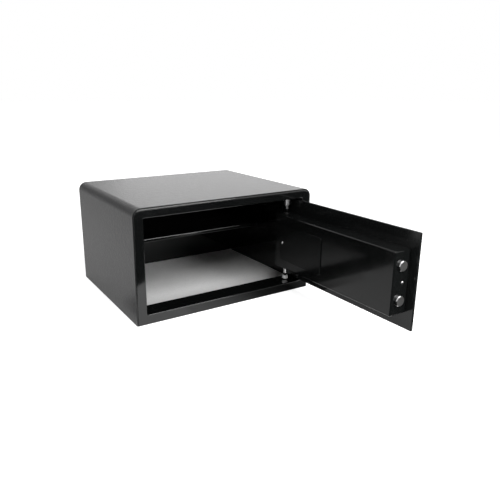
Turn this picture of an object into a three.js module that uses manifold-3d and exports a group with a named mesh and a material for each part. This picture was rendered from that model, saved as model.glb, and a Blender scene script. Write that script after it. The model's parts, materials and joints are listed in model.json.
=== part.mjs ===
// A front-opening electronic safe with its door standing open: cabinet, hinged door, driven bolts, keypad.
// Millimetres, +Z up. The origin is the middle of the cabinet's underside, and its front faces -Y.

import * as THREE from "three";
import { mergeVertices, toCreasedNormals } from "three/addons/utils/BufferGeometryUtils.js";
import Module from "manifold-3d";

const wasm = await Module();
wasm.setup();

// Clearances
const seatGap = 0.3; // between pieces that touch
const runningGap = 0.15; // between a shaft and its bore, on the radius
const slidingGap = 0.4; // round a bolt, a key or a cylinder that passes through a wall
const overrun = 1; // how far a cutter reaches past what it cuts

// Cabinet shell
const cabinetWidth = 450;
const cabinetDepth = 360;
const cabinetHeight = 250;
const shellWall = 2.5;
const shellCornerRadius = 19;
const shellEdgeBevel = 0.5;

// Base, back and their anchor holes
const baseWall = 2.5;
const backWall = 2.5;
const anchorHoleRadius = 6;
const baseAnchorInset = 75; // from the cabinet's side to the hole's middle
const backAnchorInset = 95;
const backAnchorHeight = 75;
const plugRim = 0.6;

// Front frame: a face with folded returns round the opening
const frameWall = 2.5;
const frameBorder = 23;
const openingSill = 21;
const openingHead = 22;
const openingCornerRadius = 2.2;
const frameBendRadius = 2;
const returnDepth = 52;
const headFlange = 12;
const sheetInnerRadius = 1;

// Jamb channel that takes the bolts
const jambWall = 2.5;
const strikeWindow = 26;

// Floor mat and shelf
const matThickness = 6;
const matMargin = 1;
const shelfWall = 1.5;
const shelfTop = 149;
const shelfSetback = 122;
const shelfLip = 9;
const shelfHem = 6;
const railLeg = 12;
const railSetback = 12;

// Door plate
const doorThickness = 5;
const doorRecess = 5;
const doorSideGap = 4.4;
const doorLevelGap = 4.5;
const doorCornerRadius = 1.5;
const doorEdgeBevel = 0.6;
const cableHoleRadius = 8;

// Hinge
const pinBehindPlate = 17.5;
const pinFromDoorEdge = 19.6;
const pinRadius = 4;
const pinCollarRadius = 7;
const pinCollarHeight = 3;
const bushRadius = 8;
const bushNoseRadius = 5.8;
const upperBushShare = 0.52; // of the room between the lock box and the opening's head
const upperBushTaper = 4;
const upperBushCap = 5;
const lowerBushRadius = 7;
const lowerBushHeight = 11;
const lowerBushFloor = 3;
const bushChamfer = 1;
const washerRadius = 7.5;
const washerThickness = 1.6;
const bracketWall = 3;
const bracketReach = 31;
const bracketLength = 26;

// Lock box on the door's back
const boxWall = 1.5;
const boxDepth = 43.5;
const boxHeight = 130;
const boxEndMargin = 17.5;
const boxHingeOverrun = 9;
const boxCornerRadius = 3;
const boxEdgeRadius = 2.5;

// Battery cover, tray and cells
const coverWidth = 145;
const coverHeight = 86;
const coverThickness = 1.8;
const coverFromBoxEnd = 22;
const coverCornerRadius = 6;
const coverEdgeRadius = 1.2;
const coverScrewInset = 9;
const trayWidth = 118;
const trayHeight = 74;
const trayDepth = 19;
const trayWall = 1.6;
const traySideInset = 7;
const cellRadius = 7.25;
const cellLength = 49.5;
const cellButtonRadius = 2.75;
const cellButtonHeight = 1.2;
const cellBayLength = 52.5;
const cellEdgeRadius = 0.8;
const trayRibHeight = 7;
const trayRibWall = 1.2;
const boardThickness = 1.6;
const boardMargin = 3;
const boardPostRadius = 2.4;
const boardPostHeight = 4;
const chipHeight = 2;
const chipShares = [
  // centre across, centre up, width, height, each a share of the board
  [-0.18, 0.2, 0.3, 0.26],
  [0.26, 0.24, 0.18, 0.18],
  [0.12, -0.24, 0.36, 0.14],
];

// Screws
const screwShankRadius = 1.6;
const screwShankLength = 5;
const coverScrewHeadRadius = 3.4;
const endScrewHeadRadius = 3.6;
const screwHeadHeight = 2.2;
const headFlankShare = 0.25; // of the head's height

// Bolts and the bar that carries them
const boltRadius = 11;
const boltSpacing = 70;
const boltBehindPlate = 23.5;
const boltProud = 5.5;
const boltLength = 60;
const boltChamfer = 1.5;
const boltThrow = 26;
const boltSpigotRadius = 4;
const boltSpigotLength = 8;
const barThickness = 6;
const barWidth = 16;
const barOverlap = 11.5;
const armWidth = 8;
const armHeight = 8;

// Chassis that guides the bolts
const chassisWall = 2;
const chassisLevelMargin = 6.5; // from the lock box's outside
const chassisFlange = 38;
const chassisMotorReach = 12;
const guideInset = 18;
const chassisInnerRadius = 1.5;

// Rack and pinion
const gearModule = 1.25;
const pinionTeeth = 18;
const pressureAngle = THREE.MathUtils.degToRad(20);
const rackBacklash = 0.24;
const toothRootClearance = 0.35;
const pinionFromBolts = 33.6;
const pinionShaftRadius = 2.5;
const pinionShaftSeat = 6;
const pinionThickness = 7.4;
const rackTeethBefore = 2; // beyond the pinion's axis on the bolts' side
const rackEndMargin = 6;

// Gearbox and motor
const gearboxWidth = 34;
const gearboxHeight = 30;
const gearboxDepth = 15;
const gearboxCornerRadius = 4;
const gearboxEdgeRadius = 1;
const motorRadius = 7;
const motorLength = 26;
const motorNeckRadius = 5;
const motorNeckLength = 2;

// Emergency key lock: barrel, nut, plug and cam
const keyLockFromBolts = 39.6;
const keyLockBelowMiddle = 32.5;
const barrelRadius = 9;
const barrelFlangeRadius = 13;
const barrelFlangeThickness = 3;
const barrelTail = 12;
const barrelNutRadius = 12.5;
const barrelNutThickness = 4;
const barrelNutCorners = 6;
const plugRadius = 6;
const plugTailRadius = 3;
const plugTailLength = 4.2;
const keywayWidth = 2;
const keywayHeight = 8;
const keywayDepth = 7;
const camThickness = 2.5;
const camWidth = 5;
const camHubRadius = 6;
const camTravel = 13;
const camTipMargin = 3;
const camTipFlat = 0.1;
const camPinRadius = 2;

// Keypad on the door's front
const keypadWidth = 92;
const keypadHeight = 140;
const keypadDepth = 9;
const keypadFromBarrel = 21;
const keypadWall = 2;
const keypadCornerRadius = 8;
const keypadEdgeRadius = 2.5;
const keyColumns = 3;
const keyRows = 4;
const keyPitchAcross = 24;
const keyPitchUp = 20;
const keyWidth = 18;
const keyHeight = 14;
const keyCornerRadius = 2.5;
const keyEdgeRadius = 0.9;
const keyProud = 1.5;
const keyFlange = 1.4;
const keyFlangeThickness = 1;
const keyTravel = 1.5;
const keyFieldRise = 16; // from the housing's lower edge to the lowest keys' lower edge
const switchRadius = 2.5;
const switchGap = 0.4; // left between a pressed key and its switch
const displayWidth = 62;
const displayHeight = 20;
const displayFromTop = 12;
const displayLensRecess = 0.4;

// How finely round forms are drawn
const shellSteps = 6;
const arcSteps = 4;
const lensSteps = 2;
const flankSteps = 3;
const switchSteps = 8;
const turnSteps = 24;
const fineTurnSteps = 36;
const creaseAngle = THREE.MathUtils.degToRad(35);

// Places worked out from the sizes above
const frontY = -cabinetDepth / 2;
const backY = cabinetDepth / 2;
const innerHalfWidth = cabinetWidth / 2 - shellWall;
const innerTop = cabinetHeight - shellWall;
const panelHalfWidth = innerHalfWidth - seatGap;
const openingWidth = cabinetWidth - 2 * frameBorder;
const openingTop = cabinetHeight - openingHead;
const openingHeight = openingTop - openingSill;
const openingMiddle = openingSill + openingHeight / 2;
const panelBackY = frontY + frameWall + seatGap;
const backPanelFrontY = backY - backWall - seatGap;
const matTop = baseWall + seatGap + matThickness;
const baseAnchorX = cabinetWidth / 2 - baseAnchorInset;
const backAnchorX = cabinetWidth / 2 - backAnchorInset;

const doorWidth = openingWidth - 2 * doorSideGap;
const doorHeight = openingHeight - 2 * doorLevelGap;
const hingeX = doorWidth / 2 - pinFromDoorEdge;
const hingeY = frontY + doorRecess + doorThickness + pinBehindPlate;

// The door is drawn closed, with its hinge axis at x = 0, y = 0.
const plateBackY = -pinBehindPlate;
const plateFrontY = plateBackY - doorThickness;
const plateFreeX = pinFromDoorEdge - doorWidth;
const plateMiddleX = pinFromDoorEdge - doorWidth / 2;
const boxFreeX = plateFreeX + boxEndMargin;
const boxLength = boxHingeOverrun - boxFreeX;
const boxMiddleX = boxFreeX + boxLength / 2;
const boxBackY = plateBackY + boxDepth;
const boxInnerY = boxBackY - boxWall;
const boxTop = openingMiddle + boxHeight / 2;
const boxBottom = openingMiddle - boxHeight / 2;
const doorSeatY = plateBackY + seatGap;
const upperBushLow = openingTop - upperBushShare * (openingTop - boxTop);
const upperBoreEnd = openingTop - seatGap - upperBushCap;
const chassisHeight = boxHeight - 2 * chassisLevelMargin;

const coverMiddleX = boxHingeOverrun - coverFromBoxEnd - coverWidth / 2;
const coverScrewX = coverMiddleX + coverWidth / 2 - coverScrewInset;
const trayMiddleX = coverMiddleX - coverWidth / 2 + traySideInset + trayWidth / 2;
const trayFloorY = boxBackY - trayDepth;

const boltY = plateBackY + boltBehindPlate;
const boltTipX = boxFreeX - boltProud;
const boltEndX = boltTipX + boltLength;
const boltHeights = [openingMiddle + boltSpacing / 2, openingMiddle - boltSpacing / 2];
const barX = boltEndX + seatGap;
const barBackX = barX + barThickness;
const pinionX = barBackX + pinionFromBolts;
const pitchRadius = (gearModule * pinionTeeth) / 2;
const pinionZ = openingMiddle + pitchRadius / 2;
const pitchLineZ = pinionZ - pitchRadius;
const keyLockX = barBackX + keyLockFromBolts;
const keyLockZ = openingMiddle - keyLockBelowMiddle;
const camPinReach = (camWidth / 2 + camPinRadius + seatGap) * Math.SQRT2;
const camPinX = keyLockX + camTravel + camPinReach;
const camPinZ = keyLockZ - camTravel;
const armY = boltY;
const armFrontY = armY - armWidth / 2;
const chassisTopY = doorSeatY + chassisWall;
const chassisFreeX = boxFreeX + boxWall + seatGap;
const gearboxBackY = chassisTopY + seatGap + gearboxDepth;
const motorY = chassisTopY + seatGap + gearboxDepth / 2;
const camFrontY = armFrontY - seatGap - camThickness;
const barrelBackY = plateFrontY + doorThickness + barrelTail;

const keypadMiddleX = keyLockX + barrelFlangeRadius + keypadFromBarrel + keypadWidth / 2;
const keypadBackY = plateFrontY - seatGap;
const keypadFrontY = keypadBackY - keypadDepth;
const keypadInnerY = keypadFrontY + keypadWall;
const keypadBottom = openingMiddle - keypadHeight / 2;
const boardBackY = keypadBackY - seatGap;
const keyBackY = keypadInnerY + seatGap + keyFlangeThickness;
const displayZ = openingMiddle + keypadHeight / 2 - displayFromTop - displayHeight / 2;

// Materials
const paint = (color, roughness, metalness = 0) =>
  new THREE.MeshStandardMaterial({ color, roughness, metalness });
const blackTexture = paint(0x191a1b, 0.5);
const blackGloss = paint(0x0c0d0e, 0.18);
const grayFelt = paint(0xb4b4b2, 0.95);
const chrome = paint(0xd5d7d9, 0.15, 1);
const zincSteel = paint(0xa4a8aa, 0.35, 1);
const blackPlastic = paint(0x17181a, 0.55);
const keyPlastic = paint(0x2a2c2f, 0.5);
const lensPlastic = paint(0x0a0f12, 0.08);
const boardGreen = paint(0x1c4a2c, 0.5);
const cellWrap = paint(0x2f3a44, 0.35);
const nylon = paint(0xd9d7cf, 0.5);

// Solids and their cuts
function solid(geometry) {
  const open = geometry.index ? geometry.toNonIndexed() : geometry;
  const bare = new THREE.BufferGeometry();
  bare.setAttribute("position", open.getAttribute("position"));
  const merged = mergeVertices(bare);
  return new wasm.Manifold(
    new wasm.Mesh({
      numProp: 3,
      vertProperties: new Float32Array(merged.getAttribute("position").array),
      triVerts: new Uint32Array(merged.index.array),
    }),
  );
}

function geometryOf(manifold) {
  const { vertProperties, triVerts } = manifold.getMesh();
  const geometry = new THREE.BufferGeometry();
  geometry.setAttribute("position", new THREE.BufferAttribute(vertProperties, 3));
  geometry.setIndex(new THREE.BufferAttribute(triVerts, 1));
  return geometry;
}

function join(first, ...others) {
  return geometryOf(others.reduce((sum, other) => sum.add(solid(other)), solid(first)));
}

function cut(first, ...cutters) {
  return geometryOf(cutters.reduce((rest, cutter) => rest.subtract(solid(cutter)), solid(first)));
}

function common(first, other) {
  return geometryOf(solid(first).intersect(solid(other)));
}

function piece(name, geometry, material) {
  const mesh = new THREE.Mesh(toCreasedNormals(geometry, creaseAngle), material);
  mesh.name = name;
  return mesh;
}

// Outlines
function roundedRectangle(width, height, radius, steps = arcSteps) {
  return new THREE.Shape(ringOf(width, height, radius, 0, steps));
}

function rectangle(left, bottom, right, top) {
  const corners = [
    [left, bottom],
    [right, bottom],
    [right, top],
    [left, top],
  ];
  return new THREE.Shape(corners.map(([x, y]) => new THREE.Vector2(x, y)));
}

function circle(x, y, radius, steps = turnSteps) {
  const points = [];
  for (let step = 0; step < steps; step += 1) {
    const angle = (2 * Math.PI * step) / steps;
    points.push(new THREE.Vector2(x + radius * Math.cos(angle), y + radius * Math.sin(angle)));
  }
  return new THREE.Shape(points);
}

// The section of a folded sheet. The path runs along one side of it, with the metal on the path's right.
function foldedSheet(path, wall, innerRadius = sheetInnerRadius) {
  const points = path.map(([x, y]) => new THREE.Vector2(x, y));
  const directions = points.slice(1).map((point, i) => point.clone().sub(points[i]).normalize());
  const right = (d) => new THREE.Vector2(d.y, -d.x);
  const near = [points[0]];
  const far = [points[0].clone().addScaledVector(right(directions[0]), wall)];
  for (let i = 1; i < points.length - 1; i += 1) {
    const before = directions[i - 1];
    const after = directions[i];
    const leftTurn = before.cross(after) > 0;
    const inward = leftTurn ? -1 : 1;
    const nearRadius = leftTurn ? innerRadius : innerRadius + wall;
    const farRadius = leftTurn ? innerRadius + wall : innerRadius;
    const first = right(before).multiplyScalar(inward);
    const last = right(after).multiplyScalar(inward);
    const centre = points[i].clone();
    centre.addScaledVector(first.clone().add(last), nearRadius / (1 + first.dot(last)));
    const turn = Math.acos(THREE.MathUtils.clamp(first.dot(last), -1, 1)) * (leftTurn ? 1 : -1);
    for (let step = 0; step <= arcSteps; step += 1) {
      const spoke = first.clone().rotateAround(new THREE.Vector2(), (turn * step) / arcSteps);
      near.push(centre.clone().addScaledVector(spoke, -nearRadius));
      far.push(centre.clone().addScaledVector(spoke, -farRadius));
    }
  }
  const end = points[points.length - 1];
  near.push(end);
  far.push(end.clone().addScaledVector(right(directions[directions.length - 1]), wall));
  return new THREE.Shape([...near, ...far.reverse()]);
}

// A flat piece of an outline, with its edges broken by a small bevel
function plate(outline, thickness, bevel = 0, steps = arcSteps) {
  const geometry = new THREE.ExtrudeGeometry(outline, {
    depth: thickness - 2 * bevel,
    bevelEnabled: bevel > 0,
    bevelThickness: bevel,
    bevelSize: bevel,
    bevelOffset: -bevel,
    bevelSegments: 1,
    curveSegments: steps,
  });
  return geometry.translate(0, 0, bevel);
}

// Turns a plate so that its outline stands in X and Z and its thickness runs from back to front.
const upright = (geometry, back) => geometry.rotateX(Math.PI / 2).translate(0, back, 0);

// Turns a section of Y and Z so that it runs along X.
function alongX(geometry, start) {
  const axes = new THREE.Matrix4().makeBasis(
    new THREE.Vector3(0, 1, 0),
    new THREE.Vector3(0, 0, 1),
    new THREE.Vector3(1, 0, 0),
  );
  return geometry.applyMatrix4(axes).translate(start, 0, 0);
}

// A block between two corners
function block(low, high) {
  const size = high.map((value, i) => value - low[i]);
  const middle = high.map((value, i) => (value + low[i]) / 2);
  return new THREE.BoxGeometry(...size).translate(...middle);
}

function rod(radius, low, high, steps = turnSteps) {
  const axis = high.map((value, i) => value - low[i]);
  const length = Math.hypot(...axis);
  const geometry = new THREE.CylinderGeometry(radius, radius, length, steps);
  const direction = new THREE.Vector3(...axis).normalize();
  const turn = new THREE.Quaternion().setFromUnitVectors(new THREE.Vector3(0, 1, 0), direction);
  const middle = high.map((value, i) => (value + low[i]) / 2);
  return geometry.applyQuaternion(turn).translate(...middle);
}

// A turned piece whose profile of radii and heights is closed on the axis or on itself, standing along Z
function turned(profile, steps = turnSteps) {
  const points = profile.map(([radius, height]) => new THREE.Vector2(radius, height));
  return new THREE.LatheGeometry(points, steps).rotateX(Math.PI / 2);
}

// One closed skin over a stack of rings that have equally many points
function loft(rings) {
  const count = rings[0].length;
  const positions = rings.flat().flatMap((point) => point.toArray());
  const faces = [];
  for (let ring = 0; ring < rings.length - 1; ring += 1) {
    for (let i = 0; i < count; i += 1) {
      const a = ring * count + i;
      const b = ring * count + ((i + 1) % count);
      faces.push(a, b, b + count, a, b + count, a + count);
    }
  }
  const top = (rings.length - 1) * count;
  for (let i = 1; i < count - 1; i += 1) {
    faces.push(0, i + 1, i, top, top + i, top + i + 1);
  }
  const geometry = new THREE.BufferGeometry();
  geometry.setAttribute("position", new THREE.Float32BufferAttribute(positions, 3));
  geometry.setIndex(faces);
  return geometry;
}

function ringOf(width, height, radius, level, steps) {
  const ring = [];
  for (let corner = 0; corner < 4; corner += 1) {
    const x = (width / 2 - radius) * (corner === 0 || corner === 3 ? 1 : -1);
    const y = (height / 2 - radius) * (corner < 2 ? 1 : -1);
    for (let step = 0; step <= steps; step += 1) {
      const angle = ((corner + step / steps) * Math.PI) / 2;
      ring.push(new THREE.Vector3(x + radius * Math.cos(angle), y + radius * Math.sin(angle), level));
    }
  }
  return ring;
}

// A moulded or drawn block: rounded corners, and a rounded edge round its far end
function softBlock(width, height, depth, cornerRadius, edgeRadius, steps = arcSteps) {
  const rings = [ringOf(width, height, cornerRadius, 0, steps)];
  for (let step = 0; step <= steps; step += 1) {
    const angle = ((step / steps) * Math.PI) / 2;
    const inset = edgeRadius * (1 - Math.cos(angle));
    const level = depth - edgeRadius * (1 - Math.sin(angle));
    rings.push(ringOf(width - 2 * inset, height - 2 * inset, cornerRadius - inset, level, steps));
  }
  return loft(rings);
}

// A cutter that widens towards its start, so that it leaves a rounded edge round a hole
function flaredCutter(width, height, depth, cornerRadius, flare) {
  const wide = (spread, level) =>
    ringOf(width + 2 * spread, height + 2 * spread, cornerRadius + spread, level, arcSteps);
  const rings = [wide(flare, -overrun)];
  for (let step = 0; step <= arcSteps; step += 1) {
    const angle = ((step / arcSteps) * Math.PI) / 2;
    rings.push(wide(flare * (1 - Math.sin(angle)), flare * (1 - Math.cos(angle))));
  }
  rings.push(wide(0, depth));
  return loft(rings);
}

// Faces a block that grows along +Z towards the back, or towards the front.
const towardsBack = (geometry, y) => geometry.rotateX(-Math.PI / 2).translate(0, y, 0);
const towardsFront = (geometry, y) => geometry.rotateX(Math.PI / 2).translate(0, y, 0);

// Cabinet
function bodyShell() {
  const half = cabinetWidth / 2;
  const x = half - shellCornerRadius;
  const z = cabinetHeight - shellCornerRadius;
  const innerRadius = shellCornerRadius - shellWall;
  const outline = new THREE.Shape();
  outline.moveTo(innerHalfWidth, 0);
  outline.lineTo(half, 0);
  outline.absarc(x, z, shellCornerRadius, 0, Math.PI / 2);
  outline.absarc(-x, z, shellCornerRadius, Math.PI / 2, Math.PI);
  outline.lineTo(-half, 0);
  outline.lineTo(-innerHalfWidth, 0);
  outline.absarc(-x, z, innerRadius, Math.PI, Math.PI / 2, true);
  outline.absarc(x, z, innerRadius, Math.PI / 2, 0, true);
  outline.closePath();
  return upright(plate(outline, cabinetDepth, shellEdgeBevel, shellSteps), backY);
}

// What fits inside the shell: straight below, with the shell's rounded shoulders above
function panelOutline() {
  const radius = shellCornerRadius - shellWall - seatGap;
  const x = panelHalfWidth - radius;
  const z = innerTop - seatGap - radius;
  const outline = new THREE.Shape();
  outline.moveTo(-panelHalfWidth, 0);
  outline.lineTo(panelHalfWidth, 0);
  outline.absarc(x, z, radius, 0, Math.PI / 2);
  outline.absarc(-x, z, radius, Math.PI / 2, Math.PI);
  outline.closePath();
  return outline;
}

function basePanel() {
  const outline = rectangle(-panelHalfWidth, panelBackY, panelHalfWidth, backPanelFrontY);
  for (const side of [-1, 1]) {
    outline.holes.push(circle(side * baseAnchorX, 0, anchorHoleRadius));
  }
  return plate(outline, baseWall);
}

function backPanel() {
  const outline = panelOutline();
  for (const side of [-1, 1]) {
    outline.holes.push(circle(side * backAnchorX, backAnchorHeight, anchorHoleRadius));
  }
  return upright(plate(outline, backWall), backY);
}

// A blanking plug that fills an anchor hole flush
function anchorPlug(wall) {
  const radius = anchorHoleRadius - seatGap;
  const low = -wall / 2 + seatGap;
  const high = wall / 2 - seatGap;
  return turned([
    [0, low],
    [radius - plugRim, low],
    [radius, low + plugRim],
    [radius, high - plugRim],
    [radius - plugRim, high],
    [0, high],
  ]);
}

function frontFrame() {
  const face = upright(plate(panelOutline(), frameWall), frontY + frameWall);
  const start = frontY + frameWall / 2;
  const end = frontY + returnDepth;
  const flangeTop = openingTop + headFlange;
  const head = foldedSheet([[end, flangeTop], [end, openingTop], [start, openingTop]], frameWall);
  const sill = foldedSheet([[start, openingSill], [end, openingSill], [end, matTop + seatGap]], frameWall);
  const room = () => upright(plate(panelOutline(), returnDepth + overrun), end + overrun);
  const returns = [head, sill].map((section) =>
    common(alongX(plate(section, 2 * panelHalfWidth), -panelHalfWidth), room()),
  );
  const opening = flaredCutter(
    openingWidth,
    openingHeight,
    frameWall + overrun,
    openingCornerRadius,
    frameBendRadius,
  );
  towardsBack(opening, frontY).translate(0, 0, openingMiddle);
  return cut(join(face, ...returns), opening);
}

// A channel behind the opening's left edge, with a window for each bolt
function strikeJamb() {
  const wallX = -panelHalfWidth;
  const edgeX = -openingWidth / 2;
  const near = panelBackY;
  const far = frontY + returnDepth;
  const section = foldedSheet([[wallX, far], [edgeX, far], [edgeX, near], [wallX, near]], jambWall);
  const length = openingHeight - 2 * seatGap;
  const channel = plate(section, length).translate(0, 0, openingSill + seatGap);
  const middleY = hingeY + boltY;
  const windows = boltHeights.map((z) =>
    block(
      [edgeX - jambWall - overrun, middleY - strikeWindow / 2, z - strikeWindow / 2],
      [edgeX + overrun, middleY + strikeWindow / 2, z + strikeWindow / 2],
    ),
  );
  return cut(channel, ...windows);
}

function floorMat() {
  const half = innerHalfWidth - matMargin;
  const outline = rectangle(-half, panelBackY + matMargin, half, backPanelFrontY - matMargin);
  return plate(outline, matThickness).translate(0, 0, baseWall + seatGap);
}

function shelf() {
  const front = frontY + shelfSetback;
  const back = backPanelFrontY;
  const lipZ = shelfTop - shelfLip;
  const path = [[front + shelfHem, lipZ], [front, lipZ], [front, shelfTop], [back, shelfTop]];
  const section = foldedSheet(path, shelfWall);
  return alongX(plate(section, 2 * panelHalfWidth), -panelHalfWidth);
}

// An angle on a side wall that carries the shelf
function shelfRail(side) {
  const top = shelfTop - shelfWall - seatGap;
  const wallX = side * panelHalfWidth;
  const toeX = side * (panelHalfWidth - railLeg);
  const path = [[wallX, top - railLeg], [wallX, top], [toeX, top]];
  const section = foldedSheet(side < 0 ? path : path.reverse(), shelfWall);
  const front = frontY + shelfSetback + railSetback;
  const back = backPanelFrontY - railSetback;
  return upright(plate(section, back - front), back);
}

// A bush that hangs from the opening's head, with a tapered nose and a blind bore
function upperBush() {
  const top = openingTop - seatGap;
  const bore = pinRadius + runningGap;
  return turned([
    [0, upperBoreEnd],
    [bore, upperBoreEnd],
    [bore, upperBushLow],
    [bushNoseRadius, upperBushLow],
    [bushRadius, upperBushLow + upperBushTaper],
    [bushRadius, top],
    [0, top],
  ]);
}

function lowerBush() {
  const low = openingSill + seatGap;
  const top = openingSill + lowerBushHeight;
  const bore = pinRadius + runningGap;
  return turned([
    [0, low],
    [lowerBushRadius, low],
    [lowerBushRadius, top - bushChamfer],
    [lowerBushRadius - bushChamfer, top],
    [bore, top],
    [bore, low + lowerBushFloor],
    [0, low + lowerBushFloor],
  ]);
}

// Door plate and hinge
function doorPlate() {
  const outline = roundedRectangle(doorWidth, doorHeight, doorCornerRadius, lensSteps);
  const keyHole = barrelRadius + slidingGap;
  outline.holes.push(circle(keypadMiddleX - plateMiddleX, 0, cableHoleRadius));
  outline.holes.push(circle(keyLockX - plateMiddleX, keyLockZ - openingMiddle, keyHole));
  const geometry = plate(outline, doorThickness, doorEdgeBevel);
  return upright(geometry, plateBackY).translate(plateMiddleX, 0, openingMiddle);
}

function hingeBracket() {
  const top = boxTop - boxWall - seatGap;
  const bottom = boxBottom + boxWall + seatGap;
  const toe = doorSeatY + bracketReach;
  const path = [[toe, bottom], [doorSeatY, bottom], [doorSeatY, top], [toe, top]];
  const section = foldedSheet(path, bracketWall, chassisInnerRadius);
  const end = boxHingeOverrun - boxCornerRadius;
  const bracket = alongX(plate(section, bracketLength), end - bracketLength);
  const hole = rod(pinRadius + runningGap, [0, 0, bottom - overrun], [0, 0, top + overrun]);
  return cut(bracket, hole);
}

// The pin stands on a collar inside the bracket and turns in its bush.
function hingePin(side) {
  const boxEnd = side > 0 ? boxTop : boxBottom;
  const root = boxEnd - side * (boxWall + seatGap + bracketWall + seatGap);
  const lowerTip = openingSill + seatGap + lowerBushFloor + seatGap;
  const tip = side > 0 ? upperBoreEnd - seatGap : lowerTip;
  const collar = root - side * pinCollarHeight;
  const profile = [
    [0, collar],
    [pinCollarRadius, collar],
    [pinCollarRadius, root],
    [pinRadius, root],
    [pinRadius, tip - side * bushChamfer],
    [pinRadius - bushChamfer, tip],
    [0, tip],
  ];
  return turned(side > 0 ? profile : profile.reverse());
}

function pinWasher(side) {
  const seat = side > 0 ? boxTop + seatGap : boxBottom - seatGap - washerThickness;
  const bore = pinRadius + runningGap;
  return turned([
    [bore, seat],
    [washerRadius, seat],
    [washerRadius, seat + washerThickness],
    [bore, seat + washerThickness],
    [bore, seat],
  ]);
}

// Lock box
function lockBox() {
  const depth = boxDepth - seatGap;
  const outer = softBlock(boxLength, boxHeight, depth, boxCornerRadius, boxEdgeRadius);
  const inner = softBlock(
    boxLength - 2 * boxWall,
    boxHeight - 2 * boxWall,
    depth - boxWall + overrun,
    boxCornerRadius - boxWall,
    boxEdgeRadius - boxWall,
  ).translate(0, 0, -overrun);
  const place = (geometry) => towardsBack(geometry, doorSeatY).translate(boxMiddleX, 0, openingMiddle);
  const trayReach = seatGap + trayWidth / 2;
  const trayRise = seatGap + trayHeight / 2;
  const window = block(
    [trayMiddleX - trayReach, boxInnerY - overrun, openingMiddle - trayRise],
    [trayMiddleX + trayReach, boxBackY + overrun, openingMiddle + trayRise],
  );
  const pinHole = rod(
    pinRadius + slidingGap,
    [0, 0, boxBottom - overrun],
    [0, 0, boxTop + overrun],
  );
  const endFrom = boxFreeX - overrun;
  const endTo = boxFreeX + boxWall + overrun;
  const boltHoles = boltHeights.map((z) =>
    rod(boltRadius + slidingGap, [endFrom, boltY, z], [endTo, boltY, z], fineTurnSteps),
  );
  const screwHole = screwShankRadius + runningGap;
  const endHole = rod(screwHole, [endFrom, 0, openingMiddle], [endTo, 0, openingMiddle]);
  const coverHole = rod(
    screwHole,
    [coverScrewX, boxInnerY - overrun, openingMiddle],
    [coverScrewX, boxBackY + overrun, openingMiddle],
  );
  return cut(place(outer), place(inner), window, pinHole, ...boltHoles, endHole, coverHole);
}

// A pan-head screw along +Z, with its head's seat at zero
function panScrew(headRadius) {
  const profile = [
    [0, -screwShankLength],
    [screwShankRadius, -screwShankLength],
    [screwShankRadius, 0],
    [headRadius, 0],
  ];
  const flank = screwHeadHeight * headFlankShare;
  const crown = screwHeadHeight - flank;
  for (let step = 0; step < arcSteps; step += 1) {
    const angle = ((step / arcSteps) * Math.PI) / 2;
    profile.push([headRadius * Math.cos(angle), flank + crown * Math.sin(angle)]);
  }
  profile.push([0, screwHeadHeight]);
  return turned(profile, fineTurnSteps / 2);
}

function batteryCover() {
  const lid = softBlock(coverWidth, coverHeight, coverThickness, coverCornerRadius, coverEdgeRadius);
  towardsBack(lid, boxBackY + seatGap).translate(coverMiddleX, 0, openingMiddle);
  const hole = rod(
    screwShankRadius + runningGap,
    [coverScrewX, boxBackY, openingMiddle],
    [coverScrewX, boxBackY + coverThickness + overrun, openingMiddle],
  );
  return cut(lid, hole);
}

function coverScrew() {
  const seat = boxBackY + seatGap + coverThickness + seatGap;
  return towardsBack(panScrew(coverScrewHeadRadius), seat).translate(coverScrewX, 0, openingMiddle);
}

function endScrew() {
  const screw = panScrew(endScrewHeadRadius).rotateY(-Math.PI / 2);
  return screw.translate(boxFreeX - seatGap, 0, openingMiddle);
}

// Tray: a bay for the cells at the hinge end and a bay for the board beyond it
const cellBayEnd = trayMiddleX + trayWidth / 2 - trayWall;
const cellBayStart = cellBayEnd - cellBayLength;
const boardBayEnd = cellBayStart - trayWall;
const boardBayStart = trayMiddleX - trayWidth / 2 + trayWall;
const trayInnerBottom = openingMiddle - trayHeight / 2 + trayWall;
const trayInnerTop = openingMiddle + trayHeight / 2 - trayWall;
const trayInnerY = trayFloorY + trayWall;
const cellCount = 4;
const cellPitch = (trayInnerTop - trayInnerBottom) / cellCount;
const boardWidth = boardBayEnd - boardBayStart - 2 * boardMargin;
const boardHeight = trayInnerTop - trayInnerBottom - 2 * boardMargin;
const boardX = (boardBayStart + boardBayEnd) / 2;
const boardSeatY = trayInnerY + boardPostHeight + seatGap;

function batteryTray() {
  const tray = block(
    [trayMiddleX - trayWidth / 2, trayFloorY, openingMiddle - trayHeight / 2],
    [trayMiddleX + trayWidth / 2, boxBackY, openingMiddle + trayHeight / 2],
  );
  const bay = (start, end) =>
    block([start, trayInnerY, trayInnerBottom], [end, boxBackY + overrun, trayInnerTop]);
  const ribs = [];
  for (let i = 1; i < cellCount; i += 1) {
    const z = trayInnerBottom + i * cellPitch;
    ribs.push(
      block(
        [cellBayStart - trayWall / 2, trayFloorY + trayWall / 2, z - trayRibWall / 2],
        [cellBayEnd + trayWall / 2, trayInnerY + trayRibHeight, z + trayRibWall / 2],
      ),
    );
  }
  const posts = [];
  for (const across of [-1, 1]) {
    for (const up of [-1, 1]) {
      const x = boardX + across * (boardWidth / 2 - boardPostRadius);
      const z = openingMiddle + up * (boardHeight / 2 - boardPostRadius);
      const foot = [x, trayFloorY + trayWall / 2, z];
      posts.push(rod(boardPostRadius, foot, [x, trayInnerY + boardPostHeight, z], turnSteps / 2));
    }
  }
  const walls = cut(tray, bay(cellBayStart, cellBayEnd), bay(boardBayStart, boardBayEnd));
  return join(walls, ...ribs, ...posts);
}

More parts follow.
